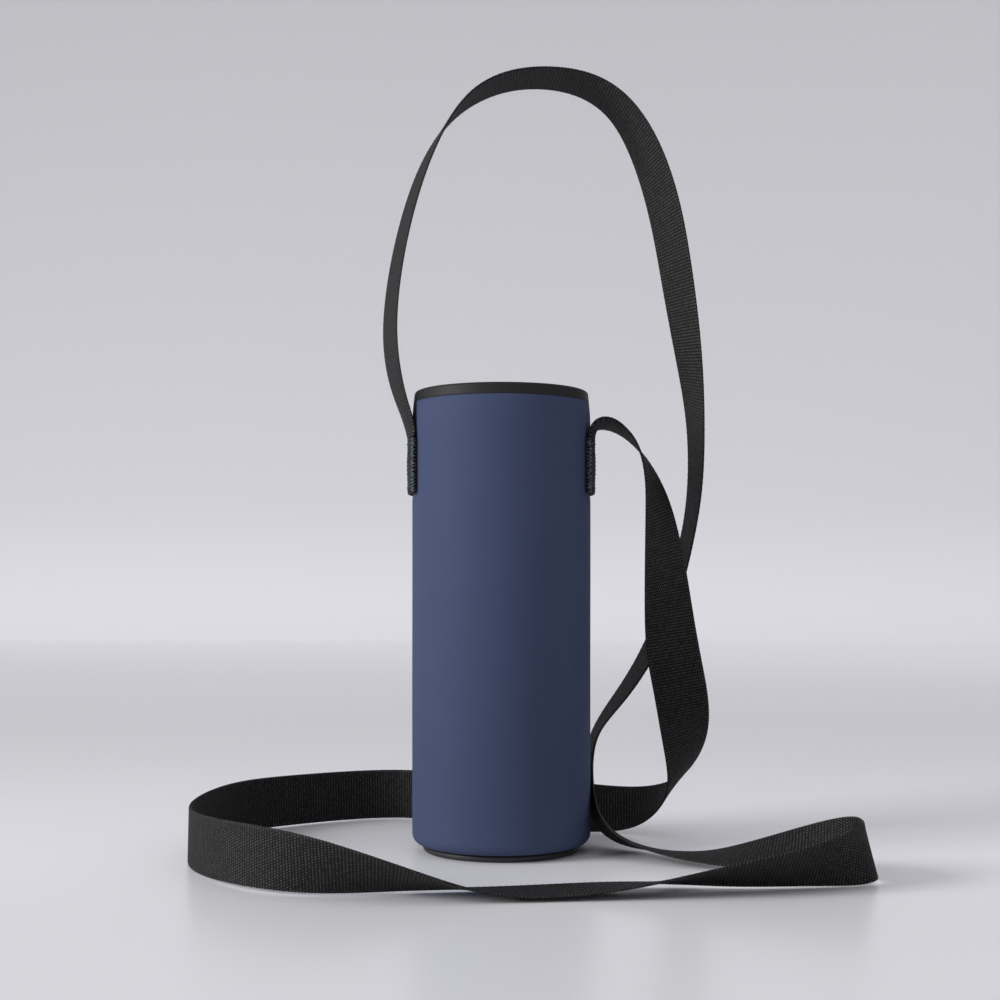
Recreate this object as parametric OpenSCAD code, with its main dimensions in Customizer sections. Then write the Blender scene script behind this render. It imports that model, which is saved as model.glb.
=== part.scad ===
// Padded bottle carrier: a laminated foam sleeve, bound at the mouth, with a long woven shoulder
// strap sewn to both sides. Millimetres, +Z up, origin at the centre of the base on the ground.

/* [Sleeve] */
// Height of the sleeve to the top of its rim binding
sleeve_h = 210.4; // [190:0.2:230]
// Inner diameter of the pocket
pocket_d = 74; // [66:0.5:84]
// Thickness of the lining cloth
lining_t = 0.8; // [0.5:0.1:1.2]
// Thickness of the foam in the wall
foam_t = 2; // [1.6:0.1:4]
// Thickness of the outer cloth
skin_t = 1.2; // [1:0.1:1.4]
// Radius of the rounded edge round the bottom of the sleeve
corner_r = 5; // [3.5:0.1:6]
// How far the wall draws in under the rim binding
mouth_draw = 0.7; // [0.4:0.1:1.5]
// Height over which the wall draws in
mouth_draw_h = 12; // [6:1:60]

/* [Rim binding] */
// Height of the binding on the outside
binding_h = 5.4; // [4:0.2:9]
// Height of the binding inside the mouth
binding_inner_h = 6.8; // [4:0.2:10]
// Thickness of the binding tape
binding_t = 0.6; // [0.5:0.05:0.8]
// How deep the binding tape presses into the outer cloth
binding_press = 0.5; // [0.2:0.05:0.6]

/* [Base] */
// Thickness of the outsole disc
outsole_t = 3.2; // [2.4:0.1:4.4]
// How far the outsole's edge stays inside the sleeve's outer face
outsole_inset = 5; // [3:0.1:6]
// Thickness of the foam in the base
base_foam_t = 4; // [3:0.1:8]

/* [Back seam] */
// Width of the flat seam down the back
seam_w = 6; // [4:0.5:10]
// Thickness of the seam's thread layer
seam_t = 0.4; // [0.2:0.05:0.6]

/* [Strap] */
// Width of the webbing
strap_w = 25; // [20:0.5:30]
// Thickness of the webbing
strap_t = 1.2; // [1:0.05:1.8]
// Height of the folded end that is sewn to the sleeve
tab_h = 25.4; // [20:0.2:40]
// Distance from the sleeve's rim down to the top of the folded end
tab_drop = 22; // [18:0.5:30]
// How far in front of the sleeve's middle the folded ends are sewn
tab_forward = 4; // [0:0.5:8]
// How deep the stitches pull the folded end into the outer cloth
tab_press = 0.15; // [0.1:0.05:0.9]
// How much shorter the folded-under layer is than the layer outside it
tab_step = 0.5; // [0.4:0.1:6]

/* [Hidden] */
$fn = 128;

navy = [0.13, 0.16, 0.27];
black = [0.07, 0.07, 0.075];
charcoal = [0.16, 0.16, 0.17];
foam_grey = [0.3, 0.31, 0.33];

// Radii of the layers, from the pocket outwards
pocket_r = pocket_d / 2;
lining_r = pocket_r + lining_t;
foam_r = lining_r + foam_t;
sleeve_r = foam_r + skin_t;
outsole_r = sleeve_r - outsole_inset;

// Heights of the layers, from the ground up
corner_z = outsole_t + corner_r;
floor_foam_z = outsole_t + base_foam_t;
floor_z = floor_foam_z + lining_t;
binding_z = sleeve_h - binding_h;
binding_inner_z = sleeve_h - binding_inner_h;
draw_z = binding_z - mouth_draw_h;

// The binding folds over the wall's cut edge and presses its cloth in
binding_r = sleeve_r - mouth_draw - binding_press + binding_t;
binding_inner_r = pocket_r + binding_t / 6;
binding_round = (binding_r - binding_inner_r) / 2;
wall_top = sleeve_h - binding_round - binding_t;

// The folded strap ends: two layers of webbing wrapped on the sleeve
tab_top = sleeve_h - tab_drop;
tab_z = tab_top - tab_h;
tab_r = sleeve_r - tab_press;
tab_mid_r = tab_r + strap_t * 3 / 2;
tab_angle = 2 * asin(strap_w / 2 / tab_mid_r);
tab_turn = asin(tab_forward / tab_mid_r);
tab_sagitta = tab_mid_r - sqrt(tab_mid_r * tab_mid_r - strap_w * strap_w / 4);

corner_steps = 10;
draw_steps = 10;
strap_rings_per_row = 2;
// Number of rows over which the strap goes from the sleeve's curve to flat
strap_flatten_rows = 2;

// Outline of the webbing's section, as shares of its half width and half thickness
strap_section_shares = [[-1, 0], [-0.95, -1], [0, -1], [0.95, -1], [1, 0], [0.95, 1], [0, 1], [-0.95, 1]];

// The strap's route from the left end over the top, round the floor and back up to the right end.
// Each row is a point that pulls its middle line, then the way its near edge leans.
strap_start = [-tab_mid_r * cos(tab_turn), -tab_forward, tab_top, sin(tab_turn), -cos(tab_turn), 0];
strap_end = [tab_mid_r * cos(tab_turn), -tab_forward, tab_top, -sin(tab_turn), -cos(tab_turn), 0];
strap_rows = [
    strap_start,
    [-43, -4, 196, 0.4, -1.1, -0.6],
    [-56, 0, 236, 0.4, -1.2, -0.1],
    [-40, 2, 315, 0.2, -1.1, -0.6],
    [-14, -1, 352, -0.1, -0.8, 0.1],
    [24, 1, 358, 0.4, -1.5, 0.1],
    [56, 6, 349, 0.1, -0.7, 0.1],
    [74, 1, 306, 0.6, -1.2, 0.3],
    [81, 1, 264, 0.4, -0.9, 0.5],
    [89, 7, 217, 0.3, -0.8, -0.2],
    [93, 20, 182, 0.2, -0.8, -0.9],
    [91, 27, 148, 0, -1.1, -0.4],
    [79, 39, 101, 0.2, -0.7, 0],
    [59, 35, 68, 0.2, -1.5, -0.1],
    [39, 28, 47, 0.1, -0.4, 0.3],
    [41, -4, 8, 0.1, -0.9, 0.6],
    [73, -30, 3, -1.2, -0.6, 0.2],
    [97, -46, 4, -0.2, -1.2, -0.2],
    [153, -65, 14, 0.2, -0.3, -0.9],
    [152, -91, 14, 0.3, 0.2, -0.9],
    [108, -105, 9, -0.2, 1, -0.8],
    [67, -102, 5, 0, 0.7, -0.1],
    [2, -108, 0, 0, 1.2, 0.1],
    [-31, -114, 7, -0.2, 1, -0.5],
    [-86, -112, 15, -0.1, 0.1, -0.9],
    [-126, -71, 13, 0.1, -0.2, -1.1],
    [-142, -28, 13, -0.1, 0.1, -0.9],
    [-133, 46, 13, 0.1, 0, -1.1],
    [-106, 70, 13, 0, -0.1, -1],
    [-48, 106, 13, 0, 0, -1],
    [-8, 56, 13, 0, 0.1, -1],
    [33, 51, 13, 0, -0.4, -1],
    [67, 53, 9, -0.1, -0.6, -0.7],
    [92, 32, 26, -0.4, -1, -0.1],
    [84, 10, 75, -1.4, 0.3, -0.2],
    [79, 14, 94, -0.8, -0.1, -0.4],
    [73, -3, 173, -0.4, -0.9, 0.7],
    [56, 0, 195, -0.3, -0.7, 0.2],
    [43, -4, 197, -0.1, -1, 0],
    strap_end
];

function unit(v) = v / norm(v);

// Outer radius of the wall at a height: straight, then drawn in towards the binding
function draw_share(z) = max(0, min(1, (z - draw_z) / mouth_draw_h));
function wall_r(z) = sleeve_r - mouth_draw * pow(draw_share(z), 2);

// Points up the wall's outer face, moved inwards by d, from the outsole to the binding
function wall_points(d) = concat(
    [for (i = [0 : corner_steps]) let (a = -90 + 90 * i / corner_steps)
        [sleeve_r - corner_r + (corner_r - d) * cos(a), corner_z + (corner_r - d) * sin(a)]],
    [for (i = [0 : draw_steps]) let (z = draw_z + mouth_draw_h * i / draw_steps)
        [wall_r(z) - d, z]]);
// The same points carried on under the binding, pressed in there, to the wall's cut edge
function pressed_points(d) = let (inset = max(d, binding_press)) concat(wall_points(d),
    inset > d ? [[wall_r(binding_z) - inset, binding_z]] : [],
    [[wall_r(wall_top) - inset, wall_top]]);
function reversed(list) = [for (i = [len(list) - 1 : -1 : 0]) list[i]];

// The strap's rows with one more at each end, so that the curve starts and stops on its ends
strap_last = len(strap_rows) - 1;
function strap_row(i) =
    i < 0 ? 2 * strap_rows[0] - strap_rows[1] :
    i > strap_last ? 2 * strap_rows[strap_last] - strap_rows[strap_last - 1] : strap_rows[i];
function blend(u, w) = let (i = floor(u)) w[0] * strap_row(i - 1) + w[1] * strap_row(i)
    + w[2] * strap_row(i + 1) + w[3] * strap_row(i + 2);
function place_weights(f) = [pow(1 - f, 3), 3 * pow(f, 3) - 6 * f * f + 4,
    -3 * pow(f, 3) + 3 * f * f + 3 * f + 1, pow(f, 3)] / 6;
function heading_weights(f) = [-pow(1 - f, 2), 3 * f * f - 4 * f, -3 * f * f + 2 * f + 1, f * f] / 2;

// One ring of the webbing's section, square to the route and turned to its lean
function strap_ring(u) = let (
    row = blend(u, place_weights(u - floor(u))),
    ahead = blend(u, heading_weights(u - floor(u))),
    heading = unit([ahead[0], ahead[1], ahead[2]]),
    lean = [row[3], row[4], row[5]],
    across = unit(lean - (lean * heading) * heading),
    face = cross(heading, across),
    flat_share = min(1, min(u, strap_last - u) / strap_flatten_rows),
    curl = tab_sagitta * pow(1 - flat_share * flat_share, 2))
    [for (s = strap_section_shares) [row[0], row[1], row[2]] + across * s[0] * strap_w / 2
        + face * (s[1] * strap_t / 2 + curl * s[0] * s[0])];

// A tube through rings of points, closed at both ends
module swept(rings) {
    sides = len(rings[0]);
    count = len(rings);
    polyhedron(
        points = [for (ring = rings) each ring],
        faces = concat(
            [[for (j = [0 : sides - 1]) j]],
            [for (i = [0 : count - 2], j = [0 : sides - 1]) let (k = (j + 1) % sides)
                each [[i * sides + j, (i + 1) * sides + j, (i + 1) * sides + k],
                      [i * sides + j, (i + 1) * sides + k, i * sides + k]]],
            [[for (j = [sides - 1 : -1 : 0]) (count - 1) * sides + j]]));
}

// A sector of a revolved outline, centred on a direction
module sector(middle, angle) {
    rotate([0, 0, middle - angle / 2]) rotate_extrude(angle = angle) children();
}

// Everything inside the wall down to a depth, above the outsole
module inside_outline(d) {
    polygon(concat([[0, outsole_t], [sleeve_r - corner_r, outsole_t]], pressed_points(d),
        [[0, wall_top]]));
}

// The seam's outline: the outer cloth's thread layer, from the rounded corner to the binding
module seam_outline() {
    intersection() {
        polygon(concat(wall_points(0), reversed(wall_points(seam_t))));
        translate([pocket_r, corner_z]) square([sleeve_r - pocket_r, sleeve_h]);
    }
}

// Folded webbing: the outer layer, the layer under it and the round fold that joins them
module folded_outline() {
    fold_z = tab_z + strap_t;
    translate([tab_r + strap_t, fold_z]) square([strap_t, tab_top - fold_z]);
    translate([tab_r, fold_z]) square([strap_t, tab_top - tab_step - fold_z]);
    intersection() {
        translate([tab_r + strap_t, fold_z]) circle(strap_t);
        translate([tab_r, tab_z]) square([2 * strap_t, strap_t]);
    }
}

module strap_end(side) {
    color(black) sector(side, tab_angle) folded_outline();
}

module outer_fabric() {
    color(navy) difference() {
        rotate_extrude() polygon(concat(pressed_points(0), reversed(pressed_points(skin_t))));
        for (side = [-tab_turn, 180 + tab_turn]) sector(side, tab_angle)
            translate([tab_r, tab_z]) square([strap_t, tab_h]);
        sector(90, seam_w / sleeve_r * 180 / PI) seam_outline();
    }
}

module foam_wall() {
    color(foam_grey) rotate_extrude() intersection() {
        inside_outline(skin_t);
        translate([lining_r, 0]) square([sleeve_r, sleeve_h]);
    }
}

module lining() {
    color(charcoal) difference() {
        translate([0, 0, floor_z]) cylinder(r = lining_r, h = binding_inner_z - floor_z);
        translate([0, 0, floor_z - lining_t]) cylinder(r = pocket_r, h = sleeve_h);
    }
}

module rim_binding() {
    color(black) rotate_extrude() difference() {
        union() {
            translate([binding_inner_r + binding_round, sleeve_h - binding_round]) circle(binding_round);
            translate([binding_inner_r, binding_inner_z])
                square([binding_round, binding_inner_h - binding_round]);
            translate([binding_inner_r + binding_round, binding_z])
                square([binding_round, binding_h - binding_round]);
        }
        intersection() {
            inside_outline(0);
            translate([lining_r, 0]) square([sleeve_r, sleeve_h]);
        }
    }
}

module outsole() {
    color(black) rotate_extrude() {
        square([outsole_r - outsole_t / 2, outsole_t]);
        intersection() {
            translate([outsole_r - outsole_t / 2, outsole_t / 2]) circle(outsole_t / 2);
            square([sleeve_r, outsole_t]);
        }
    }
}

module base_foam() {
    color(foam_grey) rotate_extrude() intersection() {
        inside_outline(skin_t);
        square([lining_r, floor_foam_z]);
    }
}

module base_lining() {
    color(charcoal) translate([0, 0, floor_foam_z]) cylinder(r = lining_r, h = lining_t);
}

module back_seam() {
    color(navy) sector(90, seam_w / sleeve_r * 180 / PI) seam_outline();
}

module strap_end_left() strap_end(180 + tab_turn);

module strap_end_right() strap_end(-tab_turn);

module shoulder_strap() {
    steps = strap_last * strap_rings_per_row;
    color(black) swept([for (i = [0 : steps]) strap_ring(i / strap_rings_per_row)]);
}

outer_fabric();
foam_wall();
lining();
rim_binding();
outsole();
base_foam();
base_lining();
back_seam();
strap_end_left();
strap_end_right();
shoulder_strap();
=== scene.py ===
import math
import bpy
import numpy as np
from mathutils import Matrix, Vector


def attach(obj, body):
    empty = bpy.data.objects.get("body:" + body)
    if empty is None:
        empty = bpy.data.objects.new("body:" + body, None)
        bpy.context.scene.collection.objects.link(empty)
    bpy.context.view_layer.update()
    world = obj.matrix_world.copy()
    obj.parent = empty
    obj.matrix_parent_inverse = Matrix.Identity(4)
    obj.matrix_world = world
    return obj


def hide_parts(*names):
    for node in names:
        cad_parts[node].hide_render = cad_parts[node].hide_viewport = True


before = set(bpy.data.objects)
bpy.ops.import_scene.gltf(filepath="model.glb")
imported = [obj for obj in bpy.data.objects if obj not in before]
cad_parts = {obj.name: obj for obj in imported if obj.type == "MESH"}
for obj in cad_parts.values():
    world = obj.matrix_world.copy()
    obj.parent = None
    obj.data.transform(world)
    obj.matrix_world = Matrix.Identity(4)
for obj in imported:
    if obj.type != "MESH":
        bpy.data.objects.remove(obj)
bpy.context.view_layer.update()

# Bottle carrier: foam sleeve, bound mouth and a long woven shoulder strap. Metres, front is -Y.
mm = 0.001

# Level camera a little above half the sleeve's height, shifted up to take in the strap's arch
cameraSetup = {
    "lens": 54.94,
    "place": (0.0, -0.703, 0.1212),
    "turn": (90.0, 0.0, 0.0),
    "shift": (-0.0013, 0.086),
    "nearest": 0.01,
}


def addCamera(setup):
    data = bpy.data.cameras.new("Camera")
    data.lens = setup["lens"]
    data.shift_x, data.shift_y = setup["shift"]
    data.clip_start = setup["nearest"]
    camera = bpy.data.objects.new("Camera", data)
    camera.location = setup["place"]
    camera.rotation_euler = [math.radians(angle) for angle in setup["turn"]]
    bpy.context.scene.collection.objects.link(camera)
    bpy.context.scene.camera = camera


addCamera(cameraSetup)
print("camera set")


# Meshes: every piece is a grid of rings, or a bundle of small thread tubes

def ringFaces(rings, sides, firstPoint=0, loop=False):
    start = np.arange(rings if loop else rings - 1)[:, None] * sides
    after = (start + sides) % (rings * sides)
    side = np.arange(sides)[None, :]
    nextSide = (side + 1) % sides
    faces = np.stack([start + side, after + side, after + nextSide, start + nextSide], -1)
    return faces.reshape(-1, 4) + firstPoint


def insideOut(points, faces):
    corners = points[faces]
    halves = [(corners[:, 0], corners[:, 1], corners[:, 2]), (corners[:, 0], corners[:, 2], corners[:, 3])]
    return sum(np.einsum("ij,ij->i", a, np.cross(b, c)).sum() for a, b, c in halves) < 0


def gridUv(rings, sides, along, around, loop):
    # values at the four corners of each face; around has one value more than the ring has sides
    ring = np.arange(rings if loop else rings - 1)[:, None] + np.zeros((1, sides), int)
    side = np.arange(sides)[None, :] + np.zeros_like(ring)
    u = np.stack([along[ring], along[ring + 1], along[ring + 1], along[ring]], -1)
    v = np.stack([around[side], around[side], around[side + 1], around[side + 1]], -1)
    return np.stack([u, v], -1).reshape(-1, 4, 2)


def insideMargin(share, margin=0.01):
    # shares of a picture's side, moved in so that a margin stays free at both edges
    return margin + (1 - 2 * margin) * share


def addPiece(name, points, quads, maps=None, caps=()):
    flip = insideOut(points, quads)
    if flip:
        quads = quads[:, ::-1]
        caps = [cap[::-1] for cap in caps]
    mesh = bpy.data.meshes.new(name)
    mesh.from_pydata(points.tolist(), [], quads.tolist() + [list(cap) for cap in caps])
    smooth = np.ones(len(quads) + len(caps), bool)
    smooth[len(quads):] = False
    mesh.polygons.foreach_set("use_smooth", smooth)
    for mapName, uv in (maps or {}).items():
        if flip:
            uv = uv[:, ::-1]
        layer = mesh.uv_layers.new(name=mapName)
        values = np.zeros((len(mesh.loops), 2))
        values[:len(quads) * 4] = uv.reshape(-1, 2)
        layer.uv.foreach_set("vector", values.ravel())
    mesh.update()
    piece = bpy.data.objects.new(name, mesh)
    bpy.context.scene.collection.objects.link(piece)
    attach(piece, "root")
    return piece


def smoothStep(value):
    value = np.clip(value, 0, 1)
    return value * value * (3 - 2 * value)


# Webbing: one section for the strap and its sewn ends. Floats stand in ribs across the width,
# staggered from one rib to the next.
webbing = {
    "width": 25 * mm,
    "body": 0.50 * mm,        # half thickness without the relief of the weave
    "relief": 0.11 * mm,
    "scallop": 0.08 * mm,     # how far the ribs swell out at the selvedges
    "ribShare": 0.6,          # part of the relief that is ribs, the rest is the single floats
    "ends": 40,               # warp threads across one face
    "endPitch": 0.6 * mm,
    "float": 1.42 * mm,       # length of one float
    "edgeEnds": 4,            # threads that each selvedge counts as in the weave
    "edgeColumns": (0.8, 2.0, 3.2),         # where its points lie among those threads
    "edgeAcross": (0.982, 1.0, 0.982),      # and how far out they lie, in half widths
    "edgeUp": (0.75, 0.0, -0.75),           # and up, in half thicknesses
    "edgeRelief": 0.6,        # the relief there, as a part of the face's
}


def webbingSection(look):
    # sideways, outward, column of the weave, and the point's part of the relief, negative on the back
    ends = look["ends"]
    column = np.arange(ends) + 0.5
    edgeColumn = ends + np.array(look["edgeColumns"])
    back = ends + look["edgeEnds"]
    columns = np.concatenate([column, edgeColumn, back + column, back + edgeColumn])
    across = (column - ends / 2) * look["endPitch"]
    rim = np.array(look["edgeAcross"]) * look["width"] / 2
    sideways = np.concatenate([across, rim, across[::-1], -rim])
    body = np.full(ends, look["body"])
    edgeUp = np.array(look["edgeUp"]) * look["body"]
    outward = np.concatenate([body, edgeUp, -body, -edgeUp])
    edgeFace = np.full(len(rim), look["edgeRelief"])
    face = np.concatenate([np.ones(ends), edgeFace, -np.ones(ends), -edgeFace])
    return sideways, outward, columns, face


sideways, outward, weaveColumns, faceSide = webbingSection(webbing)
sectionCount = len(sideways)


def weaveRelief(floats, look):
    rib = 2 * np.abs(np.sin(np.pi * floats))[:, None] - 1
    wave = np.sin(np.pi * (floats[:, None] + np.floor(weaveColumns)[None, :]))
    height = look["ribShare"] * rib + (1 - look["ribShare"]) * wave
    return height * look["relief"] * faceSide[None, :]


def wavyWidth(floats, look):
    rib = 2 * np.abs(np.sin(np.pi * floats))[:, None] - 1
    selvedge = np.sign(sideways) * (np.abs(faceSide) < 1)
    return sideways[None, :] + rib * selvedge[None, :] * look["scallop"]


def webbingMaps(floats, strips):
    # one map in floats and threads for the weave, one laid out in strips for a flat picture of it
    rings = len(floats)
    columnEdges = np.append(weaveColumns, 2 * (webbing["ends"] + webbing["edgeEnds"]) + 0.5)
    weave = gridUv(rings, sectionCount, floats, columnEdges, False)
    perStrip = math.ceil((rings - 1) / strips)
    faceRing = np.arange(rings - 1)[:, None] + np.zeros((1, sectionCount), int)
    strip = faceRing // perStrip
    step = (faceRing - strip * perStrip) / perStrip
    side = np.arange(sectionCount)[None, :] / sectionCount + np.zeros((rings - 1, 1))
    u = np.stack([step, step + 1 / perStrip, step + 1 / perStrip, step], -1)
    v = np.stack([side, side, side + 1 / sectionCount, side + 1 / sectionCount], -1)
    flat = np.stack([insideMargin(u), (strip[..., None] + insideMargin(v, margin=0.03)) / strips], -1)
    return {"weave": weave, "OFBake": flat.reshape(-1, 4, 2)}


def addWebbing(name, points, floats, strips):
    rings = len(points)
    flatPoints = points.reshape(-1, 3)
    quads = ringFaces(rings, sectionCount)
    first = np.arange(sectionCount)
    last = first[::-1] + (rings - 1) * sectionCount
    return addPiece(name, flatPoints, quads, webbingMaps(floats, strips), [first, last])


# The strap's route: points that pull its middle line, then the way its near edge leans
strapLook = {
    "tabTop": 0.1884,
    "tabRadius": 0.04265,
    "tabTurn": 0.09392,       # angle by which the sewn ends sit in front of the sleeve's middle
    "curl": 1.875 * mm,       # how far its edges bend in where it leaves the sleeve
    "curlRows": 2,
    "fineSteps": 60,          # steps from one row to the next when the length is measured
    "strips": 6,              # strips that its flat picture is laid out in
    "route": [
        (-0.04246, -0.004, 0.1884, 0.094, -0.996, 0.0),
        (-0.043, -0.004, 0.196, 0.4, -1.1, -0.6),
        (-0.056, 0.000, 0.236, 0.4, -1.2, -0.1),
        (-0.040, 0.002, 0.315, 0.2, -1.1, -0.6),
        (-0.014, -0.001, 0.352, -0.1, -0.8, 0.1),
        (0.024, 0.001, 0.358, 0.4, -1.5, 0.1),
        (0.056, 0.006, 0.349, 0.1, -0.7, 0.1),
        (0.074, 0.001, 0.306, 0.6, -1.2, 0.3),
        (0.081, 0.001, 0.264, 0.4, -0.9, 0.5),
        (0.089, 0.007, 0.217, 0.3, -0.8, -0.2),
        (0.093, 0.020, 0.182, 0.2, -0.8, -0.9),
        (0.091, 0.027, 0.148, 0.0, -1.1, -0.4),
        (0.079, 0.039, 0.101, 0.2, -0.7, 0.0),
        (0.059, 0.035, 0.068, 0.2, -1.5, -0.1),
        (0.039, 0.028, 0.047, 0.1, -0.4, 0.3),
        (0.041, -0.004, 0.008, 0.1, -0.9, 0.6),
        (0.073, -0.030, 0.003, -1.2, -0.6, 0.2),
        (0.097, -0.046, 0.004, -0.2, -1.2, -0.2),
        (0.153, -0.065, 0.014, 0.2, -0.3, -0.9),
        (0.152, -0.091, 0.014, 0.3, 0.2, -0.9),
        (0.108, -0.105, 0.009, -0.2, 1.0, -0.8),
        (0.067, -0.102, 0.005, 0.0, 0.7, -0.1),
        (0.002, -0.108, 0.000, 0.0, 1.2, 0.1),
        (-0.031, -0.114, 0.007, -0.2, 1.0, -0.5),
        (-0.086, -0.112, 0.015, -0.1, 0.1, -0.9),
        (-0.126, -0.071, 0.013, 0.1, -0.2, -1.1),
        (-0.142, -0.028, 0.013, -0.1, 0.1, -0.9),
        (-0.133, 0.046, 0.013, 0.1, 0.0, -1.1),
        (-0.106, 0.070, 0.013, 0.0, -0.1, -1.0),
        (-0.048, 0.106, 0.013, 0.0, 0.0, -1.0),
        (-0.008, 0.056, 0.013, 0.0, 0.1, -1.0),
        (0.033, 0.051, 0.013, 0.0, -0.4, -1.0),
        (0.067, 0.053, 0.009, -0.1, -0.6, -0.7),
        (0.092, 0.032, 0.026, -0.4, -1.0, -0.1),
        (0.084, 0.010, 0.075, -1.4, 0.3, -0.2),
        (0.079, 0.014, 0.093, -0.8, -0.2, -0.4),
        (0.073, -0.003, 0.171, -0.4, -0.8, 0.7),
        (0.057, 0.000, 0.195, -0.3, -0.8, 0.2),
        (0.043, -0.004, 0.1955, -0.1, -1.1, 0.0),
        (0.04246, -0.004, 0.1884, -0.094, -0.996, 0.0),
    ],
}


def strapFrames(look, u):
    # middle, across and face directions and curl of the strap at each value of u, counted in rows
    rows = np.array(look["route"])
    last = len(rows) - 1
    rows = np.vstack([2 * rows[0] - rows[1], rows, 2 * rows[-1] - rows[-2], 3 * rows[-1] - 2 * rows[-2]])
    first = np.minimum(np.floor(u).astype(int), last)
    f = (u - first)[:, None]
    pull = [(1 - f) ** 3, 3 * f ** 3 - 6 * f * f + 4, -3 * f ** 3 + 3 * f * f + 3 * f + 1, f ** 3]
    slope = [-(1 - f) ** 2, 3 * f * f - 4 * f, -3 * f * f + 2 * f + 1, f * f]
    place = sum(w * rows[first + k] for k, w in enumerate(pull)) / 6
    heading = sum(w * rows[first + k] for k, w in enumerate(slope))[:, :3] / 2
    heading /= np.linalg.norm(heading, axis=1)[:, None]
    lean = place[:, 3:]
    across = lean - (lean * heading).sum(1)[:, None] * heading
    across /= np.linalg.norm(across, axis=1)[:, None]
    fromEnd = np.minimum(u, last - u)
    curl = look["curl"] * (1 - np.minimum(1, fromEnd / look["curlRows"]) ** 2) ** 2
    return place[:, :3], across, np.cross(heading, across), curl


def shoulderStrap(look, cloth):
    last = len(look["route"]) - 1
    fine = np.linspace(0, last, last * look["fineSteps"] + 1)
    line = strapFrames(look, fine)[0]
    travelled = np.append(0, np.cumsum(np.linalg.norm(np.diff(line, axis=0), axis=1)))
    length = travelled[-1]
    rings = 2 * round(length / cloth["float"]) + 1
    u = np.interp(np.linspace(0, length, rings), travelled, fine)
    middle, across, face, curl = strapFrames(look, u)
    floats = np.arange(rings) / 2
    lift = outward[None, :] + weaveRelief(floats, cloth)
    lift += curl[:, None] * (sideways[None, :] * 2 / cloth["width"]) ** 2
    points = (middle[:, None, :] + across[:, None, :] * wavyWidth(floats, cloth)[..., None]
              + face[:, None, :] * lift[..., None])
    strap = addWebbing("shoulderStrap", points, floats, look["strips"])
    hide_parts("shoulder_strap")
    print("shoulder strap woven:", rings, "rings,", round(length, 4), "m")
    return strap, floats[-1]


strap, strapFloats = shoulderStrap(strapLook, webbing)


# Sleeve: every layer is turned about the upright axis from its outline
sleeveLook = {
    "radius": 41 * mm,
    "corner": 5 * mm,
    "cornerHeight": 8.2 * mm,
    "wallTop": 208.15 * mm,
    "drawStart": 193 * mm,
    "drawHeight": 12 * mm,
    "draw": 0.7 * mm,
    "bound": 205 * mm,        # above this the rim binding presses the cloth in
    "boundFrom": 0.1 * mm,    # the step starts this far below it
    "boundTo": 0.05 * mm,     # and ends this far above it
    "bindingPress": 0.5 * mm,
    "skin": 1.2 * mm,
    "clear": 0.02 * mm,       # between two layers
    "fineStep": 1.4 * mm,     # between the rings of the face
    "coarseStep": 6 * mm,     # between the rings of what is hidden
    "cornerSteps": 12,
    "around": 320,
    "press": 0.2 * mm,        # how deep the sewn ends pull into the cloth
    "pressHalf": 12.7 * mm,
    "pressBelow": 1.4 * mm,
    "pressAbove": 0.5 * mm,
    "pressSpread": 2.0 * mm,
    "seamDip": 0.42 * mm,
    "seamHalf": 3.5 * mm,
    "seamSlope": 0.9 * mm,
    "shapedFrom": 6.2 * mm,   # the cloth is shaped above this height
    "wave": 0.06 * mm,        # faint waves in the cloth
    "waveFall": 40 * mm,      # that fade out over this height under the rim
    "waveInwards": 0.3,
    "ripples": ((3, 31 * mm, 0.0), (2, -47 * mm, 1.0)),     # turns round, length up, shift
}

rng = np.random.default_rng(7)

# Sewn ends: the webbing folds under itself and is stitched to the sleeve with a crossed box
tabLook = {
    "foldRadius": 0.6 * mm,
    "foldHeight": 0.1642,
    "innerTop": 0.1879,
    "foldSteps": 12,
    "pressed": 0.58 * mm,     # half thickness where the two layers lie on each other
    "box": (9.4 * mm, 0.1662, 0.1862),
    "stitch": 2.4 * mm,
    "rise": 0.12 * mm,        # how far a stitch dips in at its ends
    "thread": 0.2 * mm,
    "sunk": 0.04 * mm,        # how far below the weave's crests the box stitches' middle runs
    "lace": 0.8 * mm,         # height of one leg of the lacing over each edge
    "laceUneven": 0.3 * mm,
    "laceTop": 0.1874,
    "laceBelow": 0.4 * mm,    # how far below the fold the lacing starts
    "laceSpread": 1.014,      # the edge's angle over its distance in radii: the webbing stays 25 mm wide
    "laceThread": 0.24 * mm,
    "lacePath": [             # beyond the webbing's edge, and above its face without the relief
        (-1.5 * mm, -0.05 * mm),
        (-1.1 * mm, 0.2 * mm),
        (-0.3 * mm, 0.18 * mm),
        (0.05 * mm, -0.2 * mm),
        (0.12 * mm, -0.8 * mm),
        (0.05 * mm, -1.2 * mm),
    ],
}


def turnedOut(side, r, angle):
    # a point on the left (-1) or right (1) end; positive angles lie in front of the end's middle
    angle = angle + strapLook["tabTurn"]
    return side * r * np.cos(angle), -r * np.sin(angle)


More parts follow.
